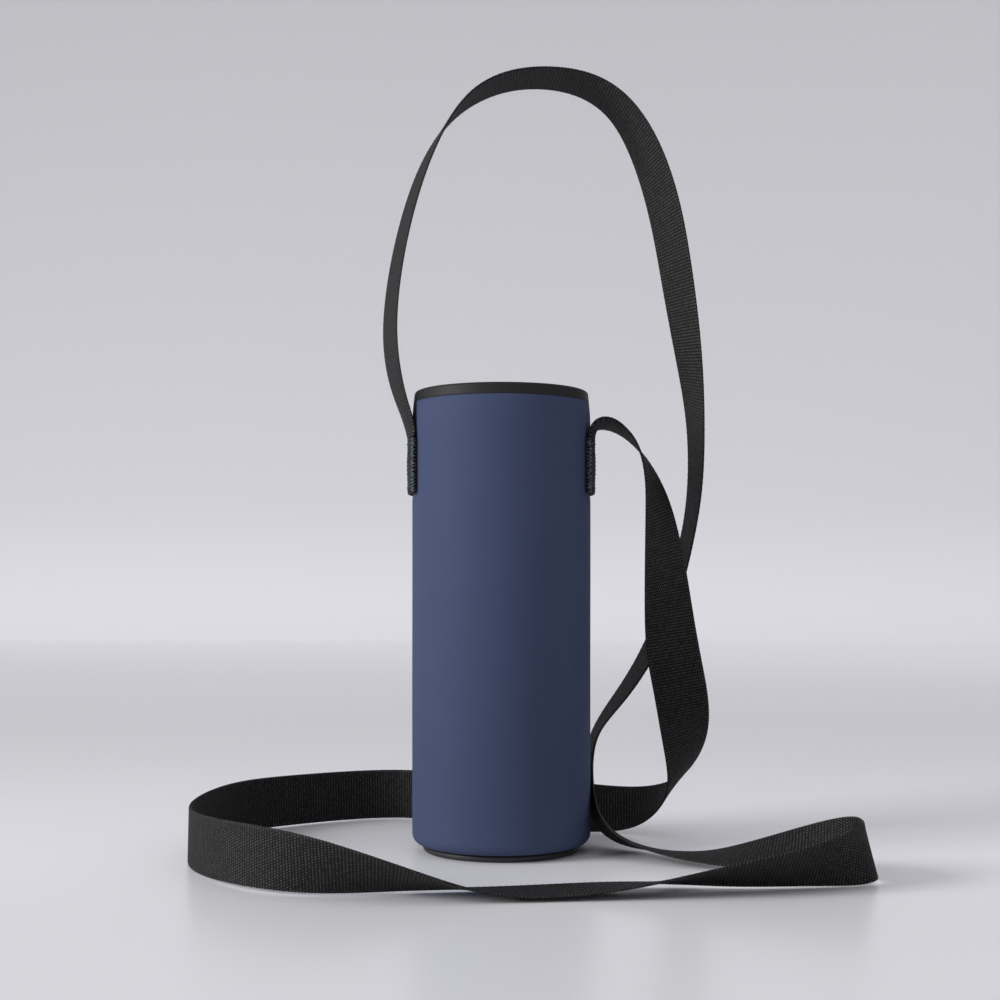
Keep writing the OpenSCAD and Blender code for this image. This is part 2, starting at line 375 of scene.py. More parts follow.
def tabPoints(look, side):
    top, radius = strapLook["tabTop"], strapLook["tabRadius"]
    straight = top - look["foldHeight"]
    step = webbing["float"] / 2
    turn = np.linspace(0, np.pi, look["foldSteps"] + 1)
    down = np.arange(0, straight - step / 2, step)
    inner = look["innerTop"] - look["foldHeight"]
    up = np.append(np.arange(step, inner, step), inner)
    fold = look["foldRadius"]
    travelled = np.concatenate([down, straight + turn * fold, straight + np.pi * fold + up])
    foldMiddle = radius - fold
    r = np.concatenate([np.full(len(down), radius), foldMiddle + fold * np.cos(turn),
                        np.full(len(up), foldMiddle - fold)])
    z = np.concatenate([top - down, look["foldHeight"] - fold * np.sin(turn), look["foldHeight"] + up])
    towards = np.concatenate([np.zeros(len(down)), turn, np.full(len(up), np.pi)])
    floats = travelled / webbing["float"]
    floats = strapFloats + floats if side > 0 else -floats
    relief = weaveRelief(floats, webbing)
    relief[:, faceSide == 1] = 0
    lift = outward[None, :] + relief
    lift[:, faceSide == 1] = look["pressed"]
    ringR = r[:, None] - np.cos(towards)[:, None] * lift
    ringZ = z[:, None] + np.sin(towards)[:, None] * lift
    x, y = turnedOut(side, ringR, np.arcsin(wavyWidth(floats, webbing) / radius))
    return np.stack([x, y, ringZ], -1), floats


def threadBundle(name, lines, radius, sides=6, tip=0.55):
    # each line is a short path of one stitch or a run of thread, narrower and closed at both ends
    points, quads, caps, first = [], [], [], 0
    turn = np.arange(sides) * 2 * np.pi / sides
    for line in lines:
        line = np.array(line)
        ahead = np.gradient(line, axis=0)
        ahead /= np.linalg.norm(ahead, axis=1)[:, None]
        out = line * np.array([1, 1, 0])
        out /= np.linalg.norm(out, axis=1)[:, None]
        beside = np.cross(ahead, out)
        beside /= np.linalg.norm(beside, axis=1)[:, None]
        out = np.cross(beside, ahead)
        share = np.ones(len(line))
        share[0] = share[-1] = tip
        circle = (np.cos(turn)[None, :, None] * out[:, None, :]
                  + np.sin(turn)[None, :, None] * beside[:, None, :])
        rings = line[:, None, :] + radius * share[:, None, None] * circle
        points.append(rings.reshape(-1, 3))
        quads.append(ringFaces(len(line), sides, first))
        start = np.arange(sides) + first
        caps += [start, start[::-1] + (len(line) - 1) * sides]
        first += len(line) * sides
    return addPiece(name, np.vstack(points), np.vstack(quads), caps=caps)


# One stitch: how far along it each point lies, and how high, where 1 is the stitch's rise
stitchShape = {
    "along": (0.06, 0.2, 0.5, 0.8, 0.94),
    "high": (-1.0, 0.2, 0.6, 0.2, -1.0),
}


def stitchRun(start, finish, length, place, rise):
    # stitches along a straight run on the cloth; place turns (across, height, lift) into a point
    start, finish = np.array(start, float), np.array(finish, float)
    count = round(float(np.linalg.norm(finish - start)) / length)
    lines = []
    for k in range(count):
        shares = (k + np.array(stitchShape["along"])) / count
        lifts = np.array(stitchShape["high"]) * rise
        lines.append([place(*(start + (finish - start) * s), h) for s, h in zip(shares, lifts)])
    return lines


def boxStitches(look, place, rise):
    half, low, high = look["box"]
    corners = [(-half, low), (half, low), (half, high), (-half, high)]
    runs = [(corners[i], corners[(i + 1) % 4]) for i in range(4)]
    runs += [(corners[0], corners[2]), (corners[1], corners[3])]
    return [line for a, b in runs for line in stitchRun(a, b, look["stitch"], place, rise)]


def strapEnd(look, side, name, node):
    points, floats = tabPoints(look, side)
    tab = addWebbing(name, points, floats, strips=1)
    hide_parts(node)
    return tab


def stitchPlace(radius, side):
    def place(across, height, lift):
        x, y = turnedOut(side, radius + lift, across / radius)
        return (x, y, height)
    return place


def edgeLacing(look, side, edge):
    # zigzag legs from the webbing's face over its edge, down to where the two layers meet
    radius = strapLook["tabRadius"]
    outer = radius + webbing["body"]
    path = [(webbing["width"] / 2 + beyond, outer + above) for beyond, above in look["lacePath"]]
    low = look["foldHeight"] - look["laceBelow"]
    count = round((look["laceTop"] - low) / look["lace"])
    shifts = rng.uniform(-1, 1, count) * look["laceUneven"]
    lines = []
    for k in range(count):
        leg = []
        for j, (across, r) in enumerate(path if k % 2 else path[::-1]):
            x, y = turnedOut(side, r, edge * across / radius * look["laceSpread"])
            leg.append((x, y, low + (k + j / (len(path) - 1)) * look["lace"] + shifts[k]))
        lines.append(leg)
    return lines


tabs, stitches, lacings = [], [], []
for side, word in ((-1, "Left"), (1, "Right")):
    tabs.append(strapEnd(tabLook, side, "strapEnd" + word, "strap_end_" + word.lower()))
    crest = strapLook["tabRadius"] + webbing["body"] + webbing["relief"]
    box = boxStitches(tabLook, stitchPlace(crest - tabLook["sunk"], side), tabLook["rise"])
    stitches.append(threadBundle("tabStitches" + word, box, tabLook["thread"]))
    # The lacing is stitching over each edge, made dark to paint the shade along the sewn end's side face.
    laces = edgeLacing(tabLook, side, -1) + edgeLacing(tabLook, side, 1)
    lacings.append(threadBundle("tabLacingPaintedShade" + word, laces, tabLook["laceThread"]))
print("strap ends sewn")


def wallRadius(look, z):
    # the sleeve draws in a little towards its mouth
    return look["radius"] - look["draw"] * np.clip((z - look["drawStart"]) / look["drawHeight"], 0, 1) ** 2


def cornerArc(look, depth, steps):
    # the rounded edge of the base, from below it outwards, moved in by depth
    turn = np.linspace(-np.pi / 2, 0, steps + 1)
    r = look["radius"] - look["corner"] + (look["corner"] - depth) * np.cos(turn)
    return r, look["cornerHeight"] + (look["corner"] - depth) * np.sin(turn)


def wallOutline(look, depth, top, step):
    # (radius, height) from under the rounded edge up the wall, moved in by depth
    r, z = cornerArc(look, depth, look["cornerSteps"])
    low, high = look["cornerHeight"], look["bound"] - look["boundFrom"]
    free = np.linspace(low, high, round((high - low) / step) + 1)[1:]
    pressed = np.array([look["bound"] + look["boundTo"], top])
    inset = np.append(np.full(len(free), depth), np.full(2, max(depth, look["bindingPress"])))
    wall = np.append(free, pressed)
    return np.append(r, wallRadius(look, wall) - inset), np.append(z, wall)


def turnedGrid(r, z, around):
    # radius, height and angle of every point
    angle = np.arange(around) * 2 * np.pi / around
    level = np.zeros((len(r), around))
    return r[:, None] + level, z[:, None] + level, angle[None, :] + level


def turnedPiece(name, outline, around, node, shape=None):
    # outline is a closed loop of radii and heights; shape may move each point's radius
    r, z = outline
    rings = len(r)
    ringR, ringZ, angle = turnedGrid(r, z, around)
    if shape is not None:
        ringR = ringR + shape(ringR, ringZ, angle)
    points = np.stack([ringR * np.cos(angle), ringR * np.sin(angle), ringZ], -1)
    step = np.hypot(np.diff(np.append(r, r[0])), np.diff(np.append(z, z[0])))
    along = np.append(0, np.cumsum(step))
    turnEdges = np.append(angle[0], 2 * np.pi)
    cloth = gridUv(rings, around, along / mm, turnEdges * r.max() / mm, True)
    shares = insideMargin(along / along[-1]), insideMargin(turnEdges / (2 * np.pi))
    maps = {"cloth": cloth, "OFBake": gridUv(rings, around, *shares, True)}
    piece = addPiece(name, points.reshape(-1, 3), ringFaces(rings, around, loop=True), maps)
    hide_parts(node)
    return piece


def turnedSolid(name, outline, around, node, shape=None):
    # as turnedPiece, for a disc: the outline is open, a flat cap closes each end of it,
    # and shape may move each point's height
    r, z = outline
    rings = len(r)
    ringR, ringZ, angle = turnedGrid(r, z, around)
    if shape is not None:
        ringZ = ringZ + shape(ringR, ringZ)
    points = np.stack([ringR * np.cos(angle), ringR * np.sin(angle), ringZ], -1).reshape(-1, 3)
    along = np.append(0, np.cumsum(np.hypot(np.diff(r), np.diff(z))))
    turnEdges = np.append(angle[0], 2 * np.pi)
    cloth = gridUv(rings, around, along / mm, turnEdges * r.max() / mm, False)
    first = np.arange(around)
    last = first[::-1] + (rings - 1) * around
    piece = addPiece(name, points, ringFaces(rings, around), {"cloth": cloth}, [first, last])
    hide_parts(node)
    return piece


def clothShape(look):
    # pulled in round the sewn ends and along the seam, and faintly wavy all over
    tabLow = tabLook["foldHeight"] - look["pressBelow"]
    tabHigh = strapLook["tabTop"] + look["pressAbove"]

    def shape(r, z, angle):
        # only the outer side moves
        outer = smoothStep((r - wallRadius(look, z) + look["skin"]) / (look["skin"] / 2))
        outer = outer * (z > look["shapedFrom"])
        change = np.zeros_like(r)
        for middle in (-strapLook["tabTurn"], np.pi + strapLook["tabTurn"]):
            off = np.abs((angle - middle + np.pi) % (2 * np.pi) - np.pi) * look["radius"]
            beside = np.maximum(0, off - look["pressHalf"])
            beyond = np.maximum(0, np.maximum(z - tabHigh, tabLow - z))
            away = np.hypot(beside, beyond) / look["pressSpread"]
            change -= look["press"] * np.exp(-away * away)
        fromSeam = np.abs(angle - np.pi / 2) * look["radius"]
        change -= look["seamDip"] * smoothStep((look["seamHalf"] - fromSeam) / look["seamSlope"])
        one, other = [np.sin(turns * angle + z / length + shift) for turns, length, shift in look["ripples"]]
        ripple = one * other - look["waveInwards"]
        change += look["wave"] * ripple * smoothStep((look["wallTop"] - z) / look["waveFall"])
        return change * outer

    return shape


def sleeveSkin(look):
    outR, outZ = wallOutline(look, 0, look["wallTop"], look["fineStep"])
    inR, inZ = wallOutline(look, look["skin"], look["wallTop"] - look["clear"], look["coarseStep"])
    outline = np.append(outR, inR[::-1]), np.append(outZ, inZ[::-1])
    shape = clothShape(look)
    return turnedPiece("sleeveCloth", outline, look["around"], "outer_fabric", shape)


sleeveCloth = sleeveSkin(sleeveLook)


# Foam wall: it fills the room between the face and the lining
foamLook = {
    "inner": 37.82 * mm,
    "cut": 37.8 * mm,         # the wall's rounded edge is used from this radius outwards
    "around": 128,
}


def foamWall(look, wall):
    r, z = wallOutline(wall, wall["skin"] + wall["clear"], wall["wallTop"], wall["coarseStep"])
    r, z = r[r > look["cut"]], z[r > look["cut"]]
    outline = np.append(r, np.full(2, look["inner"])), np.append(z, [wall["wallTop"], z[0]])
    return turnedPiece("foamWall", outline, look["around"], "foam_wall")


foam = foamWall(foamLook, sleeveLook)

# Lining: a tube from the pocket's floor to the binding's inner leg
liningLook = {
    "low": 8 * mm,
    "high": 203.6 * mm,
    "inner": 37 * mm,
    "outer": 37.78 * mm,
    "rings": 60,
    "around": 192,
}


def liningTube(look):
    up = np.linspace(look["low"], look["high"], look["rings"])
    r = np.repeat([look["inner"], look["outer"]], look["rings"])
    outline = r, np.append(up, up[::-1])
    return turnedPiece("liningCloth", outline, look["around"], "lining")


lining = liningTube(liningLook)

# Rim binding: tape folded over the cut edge, a leg inside and a leg outside
bindingLook = {
    "low": 204.85 * mm,
    "innerLow": 203.6 * mm,
    "inner": 37.1 * mm,
    "outer": 40.42 * mm,
    "upper": 39.95 * mm,      # outer radius where the tape starts to turn over
    "top": 210.15 * mm,
    "tape": 0.58 * mm,
    "cutRound": (0.2 * mm, 0.25 * mm),      # how far each cut edge is rounded, in and up
    "crownSteps": 16,
    "legSteps": 5,
    "around": 256,
    "wave": 0.03 * mm,
    "wobbles": ((5, 0.7, 1.0), (11, 2.1, 0.6)),             # turns round, shift, height
}


def rimBinding(look):
    middle = (look["inner"] + look["upper"]) / 2
    roundness = (look["upper"] - look["inner"]) / 2
    crown = look["top"] - roundness
    roundIn, roundUp = look["cutRound"]
    turn = np.linspace(0, np.pi, look["crownSteps"] + 1)
    up = np.linspace(look["low"] + roundUp, crown, look["legSteps"] + 1)[:-1]
    down = np.linspace(crown, look["innerLow"] + roundUp, look["legSteps"] + 1)[1:]

    def leg(z):
        # the outer leg leans in towards the mouth
        return look["outer"] - (look["outer"] - look["upper"]) * (z - look["low"]) / (crown - look["low"])

    r = np.concatenate([[look["outer"] - look["tape"], look["outer"] - roundIn], leg(up),
                        middle + roundness * np.cos(turn), np.full(len(down), look["inner"]),
                        [look["inner"] + roundIn, look["inner"] + look["tape"]]])
    z = np.concatenate([[look["low"], look["low"]], up, crown + roundness * np.sin(turn), down,
                        [look["innerLow"], look["innerLow"]]])
    insideR = middle + (roundness - look["tape"]) * np.cos(turn[::-2])
    insideZ = crown + (roundness - look["tape"]) * np.sin(turn[::-2])
    outline = np.append(r, insideR), np.append(z, insideZ)

    def shape(ringR, ringZ, angle):
        # the outer leg is never quite round, and is only ever pulled in
        wobble = sum(high * (np.sin(turns * angle + shift) - 1) for turns, shift, high in look["wobbles"])
        return look["wave"] * wobble * (ringR > middle)

    return turnedPiece("rimBinding", outline, look["around"], "rim_binding", shape)


binding = rimBinding(bindingLook)


# Base: a foam disc, and on it a disc of lining that stands a little higher in the middle
baseLook = {
    "edge": 37.78 * mm,
    "cut": 37.8 * mm,         # the rounded edge is used up to this radius
    "cornerSteps": 8,
    "side": (5 * mm, 7.16 * mm),            # heights of the foam's upright side
    "foamTop": 7.18 * mm,
    "rings": (6 * mm, 20 * mm),
    "flatEnds": (36 * mm, 34 * mm),         # where the flat bottom ends, and the flat top starts
    "around": 96,
}
baseLiningLook = {
    "low": 7.2 * mm,
    "top": 8 * mm,
    "under": (8 * mm, 20 * mm, 32 * mm, 37.6 * mm),
    "side": [(37.76 * mm, 7.35 * mm), (37.76 * mm, 7.8 * mm), (37.5 * mm, 7.95 * mm)],
    "rings": (36, 34, 30, 26, 22, 18, 14, 10, 6, 3),        # of the top, in mm
    "crown": 0.21 * mm,
    "crownFrom": 26 * mm,     # from here outwards the top sinks, over
    "crownOver": 10 * mm,
    "crownAbove": 7.9 * mm,   # only points above this height sink
    "around": 96,
}


def foamDisc(look, wall):
    r, z = cornerArc(wall, wall["skin"] + wall["clear"], look["cornerSteps"])
    keep = (r < look["cut"])
    bottom, flatTop = look["flatEnds"]
    under = [*look["rings"], bottom]
    over = [flatTop, *look["rings"][::-1]]
    r = np.concatenate([under, r[keep][1:], [look["edge"]] * 2, over])
    low = wall["cornerHeight"] - wall["corner"] + wall["clear"]
    z = np.concatenate([[low] * len(under), z[keep][1:], look["side"], [look["foamTop"]] * len(over)])
    return turnedSolid("baseFoam", (r, z), look["around"], "base_foam")


def liningDisc(look):
    sideR, sideZ = np.transpose(look["side"])
    top = np.array(look["rings"]) * mm
    r = np.concatenate([look["under"], sideR, top])
    z = np.concatenate([[look["low"]] * len(look["under"]), sideZ, [look["top"]] * len(top)])

    def crown(ringR, ringZ):
        sink = smoothStep((ringR - look["crownFrom"]) / look["crownOver"]) * (ringZ > look["crownAbove"])
        return -look["crown"] * sink

    return turnedSolid("baseLining", (r, z), look["around"], "base_lining", crown)


baseFoam = foamDisc(baseLook, sleeveLook)
baseLining = liningDisc(baseLiningLook)
print("sleeve layers turned")

# Back seam: two butted edges held by a flat seam, needle rows with a thread laced across them
seamLook = {
    "low": 8.6 * mm,
    "high": 204.6 * mm,
    "half": 2.5 * mm,
    "lace": 1.7 * mm,
    "laceShares": (-1.0, -0.75, -0.3, 0.3, 0.75, 1.0),
    "laceSlant": 0.8,         # part of a leg's height that it climbs on its way across
    "laceTip": -0.1 * mm,     # where the thread goes into the cloth
    "laceLift": 0.05 * mm,
    "rows": (-2.2 * mm, 2.2 * mm, 0.0),
    "rowLift": 0.1 * mm,
    "stitch": 2.4 * mm,
    "rise": 0.12 * mm,        # how far a stitch dips in at its ends
    "thread": 0.21 * mm,
    "inside": 0.30 * mm,      # how far below the cloth's face the threads' middle runs
}


def backSeam(look):
    def place(across, height, lift):
        r = float(wallRadius(sleeveLook, height)) - look["inside"] + lift
        angle = math.pi / 2 - across / r
        return (r * math.cos(angle), r * math.sin(angle), height)

    def rowPlace(across, height, lift):
        return place(across, height, lift + look["rowLift"])

    count = round((look["high"] - look["low"]) / look["lace"])
    heights = np.linspace(look["low"], look["high"], count + 1)
    lace = []
    for k in range(count):
        side = 1 if k % 2 else -1
        for share in look["laceShares"]:
            climb = (share + 1) / 2 * look["lace"] * look["laceSlant"]
            lift = look["laceTip"] if abs(share) == 1.0 else look["laceLift"]
            lace.append(place(side * share * look["half"], heights[k] + climb, lift))
    lines = [lace]
    for row in look["rows"]:
        lines += stitchRun((row, look["low"]), (row, look["high"]), look["stitch"], rowPlace, look["rise"])
    return threadBundle("backSeam", lines, look["thread"])


seam = backSeam(seamLook)
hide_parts("back_seam")
print("back seam laced")


# Materials

def newMaterial(name, look):
    material = bpy.data.materials.new(name)
    material.use_nodes = True
    shader = material.node_tree.nodes["Principled BSDF"]
    shader.inputs["Roughness"].default_value = look["roughness"]
    if "specular" in look:
        shader.inputs["Specular IOR Level"].default_value = look["specular"]
    return material, material.node_tree, shader


def feed(tree, socket, value):
    # a number is set on the socket, the output of another node is linked to it
    if isinstance(value, (int, float)):
        socket.default_value = value
    else:
        tree.links.new(value, socket)


def calc(tree, operation, first, second=0.0, clamp=False):
    node = tree.nodes.new("ShaderNodeMath")
    node.operation = operation
    node.use_clamp = clamp
    feed(tree, node.inputs[0], first)
    feed(tree, node.inputs[1], second)
    return node.outputs[0]


def times(tree, first, second, clamp=False):
    return calc(tree, "MULTIPLY", first, second, clamp)


def plus(tree, first, second, clamp=False):
    return calc(tree, "ADD", first, second, clamp)


def paint(tree, shader, share, look):
    # dark where the share is 0, light where it is 1
    node = tree.nodes.new("ShaderNodeMix")
    node.data_type = "RGBA"
    tree.links.new(share, node.inputs["Factor"])
    node.inputs["A"].default_value = (*look["dark"], 1)
    node.inputs["B"].default_value = (*look["light"], 1)
    tree.links.new(node.outputs["Result"], shader.inputs["Base Color"])


def uvParts(tree, mapName):
    node = tree.nodes.new("ShaderNodeUVMap")
    node.uv_map = mapName
    parts = tree.nodes.new("ShaderNodeSeparateXYZ")
    tree.links.new(node.outputs[0], parts.inputs[0])
    return parts.outputs[0], parts.outputs[1]


def joined(tree, x, y):
    node = tree.nodes.new("ShaderNodeCombineXYZ")
    feed(tree, node.inputs[0], x)
    feed(tree, node.inputs[1], y)
    return node.outputs[0]


def objectPlace(tree):
    return tree.nodes.new("ShaderNodeTexCoord").outputs["Object"]


def noiseOf(tree, vector, scale, detail=2.0):
    node = tree.nodes.new("ShaderNodeTexNoise")
    node.inputs["Scale"].default_value = scale
    node.inputs["Detail"].default_value = detail
    tree.links.new(vector, node.inputs["Vector"])
    return node.outputs[0]


def stretchedNoise(tree, u, v, stretch, detail):
    place = joined(tree, times(tree, u, stretch[0]), times(tree, v, stretch[1]))
    return noiseOf(tree, place, 1.0, detail)


def cellsOf(tree, scale):
    node = tree.nodes.new("ShaderNodeTexVoronoi")
    node.inputs["Scale"].default_value = scale
    tree.links.new(objectPlace(tree), node.inputs["Vector"])
    return node.outputs["Distance"]


def bumpInto(tree, shader, height, look):
    node = tree.nodes.new("ShaderNodeBump")
    node.inputs["Strength"].default_value = look["bump"]
    node.inputs["Distance"].default_value = look["bumpDepth"]
    tree.links.new(height, node.inputs["Height"])
    tree.links.new(node.outputs[0], shader.inputs["Normal"])


# Painted light on the weave: the dark gaps are painted shade between the floats, and the light, sharp crests
# of the floats are painted highlights.
webbingFinish = {
    "dark": (0.0016, 0.0016, 0.0018),       # in the gaps
    "light": (0.055, 0.055, 0.0554),        # on the floats
    "between": 0.1,           # brightness left between the floats of one rib
    # the selvedge's extra lightness is a painted edge highlight
    "selvedge": 0.78,         # the same where the weft turns round the edge
    "edgeOver": 1.0,          # outermost threads of each face that look like the selvedge
    "highlightSharpness": 2.6,
    "dimmest": 0.5,           # gain of the dimmest float, and the brightest has 1 more
    "cloudStretch": (0.05, 0.05),           # noise per float along, and per thread across
    "cloudDetail": 3.0,
    "cloudShare": 0.4,
    "cloudLeast": 0.8,
    "fibreStretch": (1.5, 5.0),
    "fibreDetail": 2.0,
    "fibreHeight": 0.25,
    "roughness": 0.7,
    "specular": 0.2,
    "bump": 0.6,
    "bumpDepth": 0.25 * mm,
}


def webbingMaterial(look):
    material, tree, shader = newMaterial("wovenWebbingPaintedLight", look)
    u, v = uvParts(tree, "weave")
    rib = calc(tree, "FLOOR", u)
    ribShape = calc(tree, "ABSOLUTE", calc(tree, "SINE", times(tree, u, math.pi)))

    # Floats are staggered by one thread from rib to rib, and each is two threads wide
    offset = calc(tree, "SUBTRACT", plus(tree, v, rib), 0.5)
    floatShape = calc(tree, "ABSOLUTE", calc(tree, "COSINE", times(tree, offset, math.pi / 2)))
    floatShape = plus(tree, times(tree, floatShape, 1 - look["between"]), look["between"])

    # Selvedges: one after each face, with the outermost threads beside it. Their dashes follow the weave;
    # their extra lightness is a painted edge highlight.
    before = webbing["edgeEnds"] + look["edgeOver"]
    edgeward = calc(tree, "FLOORED_MODULO", plus(tree, v, before), webbing["ends"] + webbing["edgeEnds"])
    edgeHighlightMask = calc(tree, "LESS_THAN", edgeward, before + look["edgeOver"])
    floatShape = calc(tree, "MAXIMUM", floatShape, times(tree, edgeHighlightMask, look["selvedge"]))
    # The floats' crests are painted lighter as highlights and the gaps darker as shade.
    raised = times(tree, ribShape, floatShape)
    crest = calc(tree, "POWER", raised, look["highlightSharpness"])

    # Every float has its own brightness, with soft clouds over the whole
    single = tree.nodes.new("ShaderNodeTexWhiteNoise")
    single.noise_dimensions = "2D"
    which = calc(tree, "FLOOR", times(tree, plus(tree, offset, 1.0), 0.5))
    tree.links.new(joined(tree, rib, which), single.inputs["Vector"])
    cloudy = stretchedNoise(tree, u, v, look["cloudStretch"], look["cloudDetail"])
    uneven = times(tree, plus(tree, single.outputs["Value"], look["dimmest"]),
                   plus(tree, times(tree, cloudy, look["cloudShare"]), look["cloudLeast"]))
    paint(tree, shader, times(tree, crest, uneven, clamp=True), look)

    fibres = stretchedNoise(tree, u, v, look["fibreStretch"], look["fibreDetail"])
    bumpInto(tree, shader, plus(tree, raised, times(tree, fibres, look["fibreHeight"])), look)
    return material


# Jersey: columns of small loops. First what all the knits here share, then what each has of its own.
jersey = {
    "loopBend": 1.6,
    "waleHeight": 0.6,
    "courseHeight": 0.3,
    "fuzz": 2600.0,
    "fuzzHeight": 0.5,
    "cloud": 45.0,
    "cloudDetail": 3.0,
    "cloudShare": 0.7,
    "knitShare": 0.25,
    "sheenRoughness": 0.45,
    "bumpDepth": 0.08 * mm,
}
sleeveFinish = jersey | {
    "dark": (0.044, 0.058, 0.115),
    "light": (0.052, 0.068, 0.130),
    "roughness": 0.7,
    "sheen": 0.0,
    "specular": 0.1,
    "bump": 0.25,
    "wale": 0.7,              # width and
    "course": 0.55,           # height of a loop, in mm
}
liningFinish = jersey | {
    "dark": (0.016, 0.016, 0.017),
    "light": (0.030, 0.030, 0.032),
    "roughness": 0.8,
    "sheen": 0.2,
    "specular": 0.3,
    "bump": 0.5,
    "wale": 0.9,
    "course": 0.7,
}
bindingFinish = jersey | {
    "dark": (0.013, 0.013, 0.014),
    "light": (0.018, 0.018, 0.019),
    "roughness": 0.55,
    "sheen": 0.0,
    "specular": 0.2,
    "bump": 0.25,
    "wale": 0.8,
    "course": 0.45,
}


def knitMaterial(name, look):
    material, tree, shader = newMaterial(name, look)
    along, around = uvParts(tree, "cloth")
    wale = calc(tree, "SINE", times(tree, around, 2 * math.pi / look["wale"]))
    wale = calc(tree, "ABSOLUTE", wale)
    bent = plus(tree, times(tree, along, 2 * math.pi / look["course"]), times(tree, wale, look["loopBend"]))
    course = calc(tree, "SINE", bent)
    knit = plus(tree, times(tree, wale, look["waleHeight"]), times(tree, course, look["courseHeight"]))
    place = objectPlace(tree)
    fuzz = noiseOf(tree, place, look["fuzz"])
    bumpInto(tree, shader, plus(tree, knit, times(tree, fuzz, look["fuzzHeight"])), look)
    cloudy = noiseOf(tree, place, look["cloud"], look["cloudDetail"])
    cloudy = times(tree, cloudy, look["cloudShare"])
    paint(tree, shader, plus(tree, cloudy, times(tree, knit, look["knitShare"]), clamp=True), look)
    shader.inputs["Sheen Weight"].default_value = look["sheen"]
    shader.inputs["Sheen Roughness"].default_value = look["sheenRoughness"]
    return material


# Threads: a twist that shows as flecks
twisted = {
    "twist": 2400.0,
    "gain": 1.6,              # how much lighter the lightest flecks are
    "fleck": 1.0,             # and how sharply they stand out
    "roughness": 0.5,
    "specular": 0.3,
    "bump": 0.6,
    "bumpDepth": 0.1 * mm,
}
tabThreadFinish = twisted | {
    "dark": (0.034, 0.044, 0.056),
}
# The lacing thread's dark colour is painted shade on the sewn end's side face.
laceThreadPaintedShadeFinish = twisted | {
    "dark": (0.016, 0.019, 0.023),
    "twist": 1100.0,
    "gain": 10.0,
    "fleck": 3.5,
}
seamThreadFinish = twisted | {
    "dark": (0.036, 0.046, 0.095),
}


def threadMaterial(name, look):
    material, tree, shader = newMaterial(name, look)
    twist = noiseOf(tree, objectPlace(tree), look["twist"], detail=1.0)
    bumpInto(tree, shader, twist, look)
    flecks = calc(tree, "SUBTRACT", twist, 0.5 - 0.5 / look["fleck"])
    light = tuple(look["gain"] * c for c in look["dark"])
    paint(tree, shader, times(tree, flecks, look["fleck"], clamp=True), look | {"light": light})
    return material


foamFinish = {
    "dark": (0.03, 0.03, 0.032),
    "light": (0.06, 0.06, 0.063),
    "cells": 2200.0,
    "roughness": 0.9,
    "bump": 0.6,
    "bumpDepth": 0.15 * mm,
}


def foamMaterial(look):
    material, tree, shader = newMaterial("closedCellFoam", look)
    cells = cellsOf(tree, look["cells"])
    bumpInto(tree, shader, cells, look)
    paint(tree, shader, cells, look)
    return material


rubberFinish = {
    "dark": (0.010, 0.010, 0.0105),
    "light": (0.020, 0.020, 0.021),
    "grain": 900.0,
    "grainHeight": 0.7,
    "fine": 1500.0,
    "fineHeight": 0.3,
    "worn": 60.0,
    "wornDetail": 3.0,
    "roughness": 0.55,
    "bump": 0.5,
    "bumpDepth": 0.15 * mm,
}


def rubberMaterial(look):
    material, tree, shader = newMaterial("outsoleRubber", look)
    place = objectPlace(tree)
    grain = times(tree, cellsOf(tree, look["grain"]), look["grainHeight"])
    fine = times(tree, noiseOf(tree, place, look["fine"]), look["fineHeight"])
    bumpInto(tree, shader, plus(tree, grain, fine), look)
    paint(tree, shader, noiseOf(tree, place, look["worn"], look["wornDetail"]), look)
    return material


def dress(piece, material):
    piece.data.materials.clear()
    piece.data.materials.append(material)


webbingCloth = webbingMaterial(webbingFinish)
sleeveKnit = knitMaterial("navyJersey", sleeveFinish)
liningKnit = knitMaterial("charcoalJersey", liningFinish)
bindingTape = knitMaterial("bindingTape", bindingFinish)
foamCell = foamMaterial(foamFinish)
rubber = rubberMaterial(rubberFinish)
tabThread = threadMaterial("strapThread", tabThreadFinish)
laceThread = threadMaterial("edgeThreadPaintedShade", laceThreadPaintedShadeFinish)
seamThread = threadMaterial("seamThread", seamThreadFinish)
for piece in [strap, *tabs]:
    dress(piece, webbingCloth)
for piece in stitches:
    dress(piece, tabThread)
for piece in lacings:
    dress(piece, laceThread)
dress(sleeveCloth, sleeveKnit)
dress(seam, seamThread)
for piece in (lining, baseLining):
    dress(piece, liningKnit)
dress(binding, bindingTape)
for piece in (foam, baseFoam):
    dress(piece, foamCell)
dress(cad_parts["outsole"], rubber)
print("materials made")

